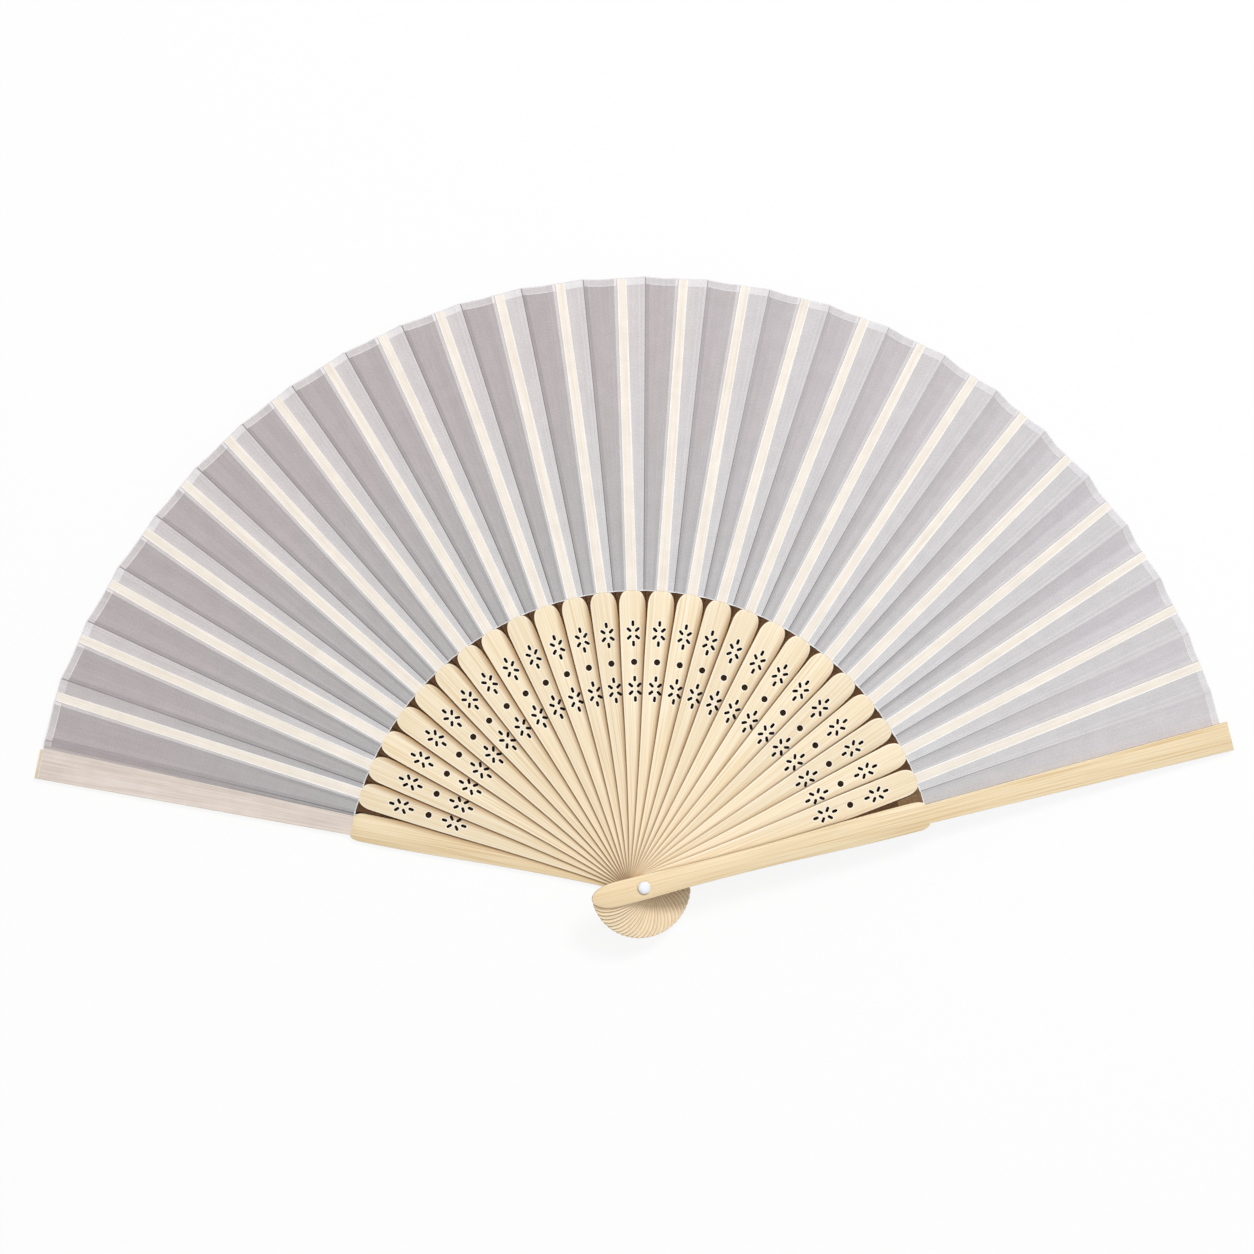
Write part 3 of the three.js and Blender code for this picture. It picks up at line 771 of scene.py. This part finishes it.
def woven_silk(name, deep, pale, wood=None, inner_value=0.985):
    """Plain woven silk: a cool pale grey with a fine uneven weave, faint pressed streaks and a dry sheen.
    Its colour drifts from deep on the back guard's side to pale on the front guard's side, as painted light
    and shade, and it is warmer towards the outer edge.
    Where it is glued down, the wood's grain shows through instead.
    Real threads are about 0.12 mm thick, and the weave is drawn 0.5 mm coarse here so that it shows."""
    weave_w, cloud, side_light_start, side_light_end = 0.5 * MM, 5 * MM, -30 * MM, 150 * MM
    cool_r, warm_r, cool_dye = 98 * MM, 165 * MM, 0.35
    streak_w, streak_l, streak_r = 0.7 * MM, 30 * MM, 150 * MM
    grain_start, grain_full, grain_most = 0.4, 0.7, 0.7
    weave_share, uneven_range, palest, deepest = 0.4 if wood else 2.0, 0.4, 1.07, 0.93
    relief_share, relief_h = 0.15, 0.05 * MM
    material, tree, shader = new_material(name)
    spot = add_node(tree, "ShaderNodeUVMap", uv_map="cut").outputs["UV"]
    flat = add_node(tree, "ShaderNodeSeparateXYZ", {0: spot}).outputs
    radius = add_node(tree, "ShaderNodeVectorMath", {0: spot}, operation="LENGTH").outputs["Value"]
    turn = add_node(tree, "ShaderNodeMath", {0: flat["Y"], 1: flat["X"]}, operation="ARCTAN2").outputs[0]
    arc = {0: turn, 1: streak_r / streak_w}
    across = add_node(tree, "ShaderNodeMath", arc, operation="MULTIPLY").outputs[0]
    along = add_node(tree, "ShaderNodeMath", {0: radius, 1: 1 / streak_l}, operation="MULTIPLY").outputs[0]
    lengthwise = add_node(tree, "ShaderNodeCombineXYZ", {0: across, 1: along}).outputs[0]
    noises = [
        add_node(tree, "ShaderNodeTexNoise", {"Vector": vector, "Scale": scale, "Detail": detail})
        for vector, scale, detail in (
            (spot, 1 / weave_w, 1.0),
            (spot, 1 / cloud, 4.0),
            (lengthwise, 1.0, 3.0),
        )
    ]
    weave, clouds, streaks = (noise.outputs["Fac"] for noise in noises)
    # Painted light and shade: the colour drifts from deep to pale across the fan.
    side_light = add_node(tree, "ShaderNodeMapRange", {0: flat["X"], 1: side_light_start, 2: side_light_end}).outputs[0]
    side_lit = {"Factor_Float": side_light, "A_Color": linear(deep), "B_Color": linear(pale)}
    colour = add_node(tree, "ShaderNodeMix", side_lit, data_type="RGBA").outputs[2]
    if wood:
        grain = {0: streaks, 1: grain_start, 2: grain_full, 3: 0.0, 4: grain_most}
        share = add_node(tree, "ShaderNodeMapRange", grain).outputs[0]
        streaked = {"Factor_Float": share, "A_Color": colour, "B_Color": linear(wood)}
        colour = add_node(tree, "ShaderNodeMix", streaked, data_type="RGBA").outputs[2]
    else:
        outwards = {0: radius, 1: cool_r, 2: warm_r, 4: 1.0}
        warmth = add_node(tree, "ShaderNodeMapRange", {**outwards, 3: cool_dye}).outputs[0]
        value = add_node(tree, "ShaderNodeMapRange", {**outwards, 3: inner_value}).outputs[0]
        beside_front_guard = {"Color": colour, "Saturation": warmth, "Value": value}
        colour = add_node(tree, "ShaderNodeHueSaturation", beside_front_guard).outputs[0]
    middle = 1 + weave_share / 2
    summed = {0: weave, 1: weave_share, 2: clouds}
    uneven = add_node(tree, "ShaderNodeMath", summed, operation="MULTIPLY_ADD").outputs[0]
    uneven = add_node(tree, "ShaderNodeMath", {0: uneven, 1: streaks}, operation="ADD").outputs[0]
    shading = {0: uneven, 1: middle - uneven_range, 2: middle + uneven_range, 3: palest, 4: deepest}
    shade = add_node(tree, "ShaderNodeMapRange", shading).outputs[0]
    colour = add_node(tree, "ShaderNodeHueSaturation", {"Color": colour, "Value": shade}).outputs[0]
    raised = {"Height": weave, "Strength": relief_share, "Distance": relief_h}
    relief = add_node(tree, "ShaderNodeBump", raised).outputs[0]
    tree.links.new(colour, shader.inputs["Base Color"])
    tree.links.new(relief, shader.inputs["Normal"])
    shader.inputs["Roughness"].default_value = 0.75
    shader.inputs["Specular IOR Level"].default_value = 0.25
    shader.inputs["Sheen Weight"].default_value = 0.08
    shader.inputs["Sheen Roughness"].default_value = 0.4
    return material


silks = {
    "guard": woven_silk("silk_over_guard", "#EBDFD6", "#EBDFD6", "#D8C7BC"),
    # Painted shade beside the back guard and on the first pleat, deepest towards the inner edge.
    "shade": woven_silk("silk_beside_guard_painted_shade", "#C7BDBB", "#C7BDBB", inner_value=0.54),
    "first": woven_silk("silk_first_pleat_painted_shade", "#D0C9CA", "#D0C9CA", inner_value=0.86),
    "rib": woven_silk("silk_over_rib", "#F8EFE4", "#F6EEE4", "#F2E6D6"),
    "border": woven_silk("silk_rib_border", "#FDF8F1", "#FEFAF4"),
    "rib_side": woven_silk("silk_rib_side", "#D3CCCA", "#D0CBCA"),
    "line": woven_silk("silk_pressed_line", "#E5DFE0", "#D7D4D6"),
    "margin": woven_silk("silk_beside_rib", "#DCD6D6", "#D8D4D4"),
    "light": woven_silk("silk_light_pleat", "#DED7D8", "#D0CDCF"),
    # Painted shade along each ridge's fold: a dark crease line, then a softer band beside it.
    "guard_crease": woven_silk("silk_guard_crease_painted_shade", "#A69E9E", "#A69E9E", inner_value=0.5),
    "crease": woven_silk("silk_crease_painted_shade", "#958D8F", "#D2CDD0", inner_value=0.65),
    "crease_side": woven_silk("silk_beside_crease_painted_shade", "#AAA2A4", "#D0CBCE"),
    # Painted light: the pleat's foot is paler where it rises to the next rib.
    "foot": woven_silk("silk_pleat_foot_painted_light", "#BFB7B8", "#CFCACD"),
    "dark": woven_silk("silk_dark_pleat", "#B8AFB0", "#D2CDD0"),
}
leaf_rows = [LEAF_INNER + (REACH - LEAF_INNER) * row / (LEAF_ROWS - 1) for row in range(LEAF_ROWS)]
leaf = leaf_strip("leaf_silk", leaf_rows, 0.0, [silks] * (LEAF_ROWS - 1))
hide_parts(*(f"leaf_gore_{blade:02d}" for blade in range(FRONT)))

# Hem and selvage: the silk's outer edge turned over and pressed flat, and its woven white inner edge.
# The turned edge is two layers thick, so it is paler, most of all on the light side of each pleat.
HEM_W, HEM_FOLD_W, SELVAGE_W, EDGE_LIFT = 2.4, 0.3, 0.2, 0.04
white_silk = woven_silk("silk_white_edge", "#EAE6E8", "#F0EEF0")
hem_fold = woven_silk("silk_hem_fold", "#E2DDDE", "#E8E5E7")
hem_light = woven_silk("silk_hem_light", "#F4F0F1", "#DFDDDF")
hem_dark = woven_silk("silk_hem_dark", "#D2CCCD", "#DFDCDE")
hem_silks = silks | {"first": hem_fold}
hem_silks |= dict.fromkeys(("line", "light", "margin"), hem_light)
hem_silks |= dict.fromkeys(("dark", "foot", "crease_side"), hem_dark)
fold_silks = hem_silks | {"dark": hem_fold, "foot": hem_fold}
white_edges = dict.fromkeys(silks, white_silk)
hem = leaf_strip(
    "leaf_hem",
    [REACH - HEM_W, REACH - HEM_W + HEM_FOLD_W, REACH - HEM_FOLD_W, REACH],
    EDGE_LIFT,
    [fold_silks, hem_silks, white_edges],
)
selvage = leaf_strip("leaf_selvage", [LEAF_INNER, LEAF_INNER + SELVAGE_W], EDGE_LIFT, [hem_silks])

# Floor: a table top painted matt white, wider than any view of the fan.
# The camera sees it white, in a reflection too, and it keeps a faint shadow of the fan.
FLOOR_SIZE, FLOOR_WHITE = 6.0, 0.87
WHITE = linear("#FFFFFF")


def seen_share(tree):
    """1 for what the camera sees, straight, in a reflection or through glass, and 0 for other light."""
    rays = add_node(tree, "ShaderNodeLightPath").outputs
    seen = rays["Is Camera Ray"]
    for kind in ("Is Glossy Ray", "Is Transmission Ray"):
        seen = add_node(tree, "ShaderNodeMath", {0: seen, 1: rays[kind]}, operation="MAXIMUM").outputs[0]
    return seen


floor_mesh = bpy.data.meshes.new("floor")
corners = [(x * FLOOR_SIZE / 2, y * FLOOR_SIZE / 2, 0) for x, y in ((-1, -1), (1, -1), (1, 1), (-1, 1))]
floor_mesh.from_pydata(corners, [], [(0, 1, 2, 3)])
paint, paint_tree, paint_shader = new_material("floor_white_matt")
paint_shader.inputs["Base Color"].default_value = linear("#FAFAFA")
paint_shader.inputs["Roughness"].default_value = 0.9
whitened = {0: seen_share(paint_tree), 1: FLOOR_WHITE}
white_share = add_node(paint_tree, "ShaderNodeMath", whitened, operation="MULTIPLY").outputs[0]
glow = add_node(paint_tree, "ShaderNodeEmission", {"Color": WHITE, "Strength": 1.0}).outputs[0]
layers = {0: white_share, 1: paint_shader.outputs[0], 2: glow}
surface = add_node(paint_tree, "ShaderNodeMixShader", layers).outputs[0]
paint_tree.links.new(surface, paint_tree.nodes["Material Output"].inputs["Surface"])
floor_mesh.materials.append(paint)
place("floor", floor_mesh)

# Light: a white room, a broad disc lamp near the camera and a smaller key lamp at the upper right.
# Both lamps point at the fan's middle. The camera sees the room white, and the fan gets less light from it.
ROOM_LIGHT = 0.35
LAMP_TARGET = Vector((0, 0.08, 0))
LAMPS = [("key", (0.45, 0.85, 1.6), 0.4, 0.4), ("broad", (0.15, 0.35, 2.2), 1.6, 0.25)]
world = bpy.data.worlds.new("studio")
bpy.context.scene.world = world
world.use_nodes = True
room = world.node_tree
strength = add_node(room, "ShaderNodeMapRange", {0: seen_share(room), 3: ROOM_LIGHT, 4: 1.0}).outputs[0]
room.nodes["Background"].inputs["Color"].default_value = WHITE
room.links.new(strength, room.nodes["Background"].inputs["Strength"])
for name, spot, size, level in LAMPS:
    away = Vector(spot) - LAMP_TARGET
    lamp_data = bpy.data.lights.new(name, "AREA")
    lamp_data.shape = "DISK"
    lamp_data.size = size
    # The power at which this lamp alone lights a white floor to its level.
    lamp_data.energy = level * math.pi**2 * away.length_squared * away.length / away.z
    lamp = bpy.data.objects.new(name, lamp_data)
    lamp.location = spot
    lamp.rotation_euler = away.to_track_quat("Z", "Y").to_euler()
    bpy.context.scene.collection.objects.link(lamp)

# Camera: it looks down on the fan from 1 m above the floor and is turned a little.
# Its place, turns and lens are matched to the photograph.
CAMERA_AT = (-0.01898, 0.0657, 1.0)
CAMERA_PITCH, CAMERA_YAW, CAMERA_ROLL = 0.01569, -0.01693, -0.02313
CAMERA_SENSOR, FOCAL_PIXELS, PHOTO_PIXELS = 36.0, 3141.3, 1254
camera_data = bpy.data.cameras.new("camera")
camera_data.sensor_width = CAMERA_SENSOR
camera_data.lens = FOCAL_PIXELS * CAMERA_SENSOR / PHOTO_PIXELS
camera = bpy.data.objects.new("camera", camera_data)
camera.matrix_world = (
    Matrix.Translation(CAMERA_AT)
    @ Matrix.Rotation(CAMERA_ROLL, 4, "Z")
    @ Matrix.Rotation(CAMERA_PITCH, 4, "X")
    @ Matrix.Rotation(CAMERA_YAW, 4, "Y")
)
bpy.context.scene.collection.objects.link(camera)
bpy.context.scene.camera = camera
bpy.context.scene.view_settings.view_transform = "Standard"
